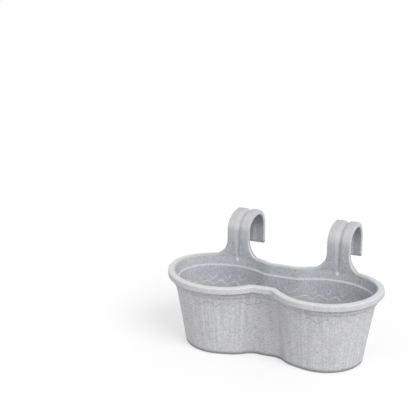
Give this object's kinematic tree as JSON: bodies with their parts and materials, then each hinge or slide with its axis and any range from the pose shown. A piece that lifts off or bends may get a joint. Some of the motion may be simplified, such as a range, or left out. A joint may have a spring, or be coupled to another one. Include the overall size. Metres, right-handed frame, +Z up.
{
  "type": "balcony planter",
  "caption": "Double plant pot with a waist and a rounded rim, with integral arched hooks that hang it on a balcony railing and push-in plugs in its drain holes.",
  "frame": {"origin": "on the standing face, midway between the two pots", "axes": "+Z up; +X along the planter from the left pot to the right pot, seen from the front; the front faces -Y and the hooks reach back to +Y"},
  "size_m": [0.385, 0.2571, 0.21],
  "materials": {
    "stone_plastic": "moulded plastic with a matt light grey stone effect, finely speckled",
    "plug_plastic": "softer moulded plastic, plain dark grey, satin"
  },
  "bodies": {
    "planter": {"double_pot": "stone_plastic", "hook_left": "stone_plastic", "hook_right": "stone_plastic"},
    "plug_left": {"drain_plug_left": "plug_plastic"},
    "plug_right": {"drain_plug_right": "plug_plastic"}
  },
  "joints": [
    {"name": "left_plug_pull", "type": "slide", "parent": "planter", "child": "plug_left", "axis": [0, 0, 1], "range_m": [0, 0.025]},
    {"name": "right_plug_pull", "type": "slide", "parent": "planter", "child": "plug_right", "axis": [0, 0, 1], "range_m": [0, 0.025]}
  ]
}
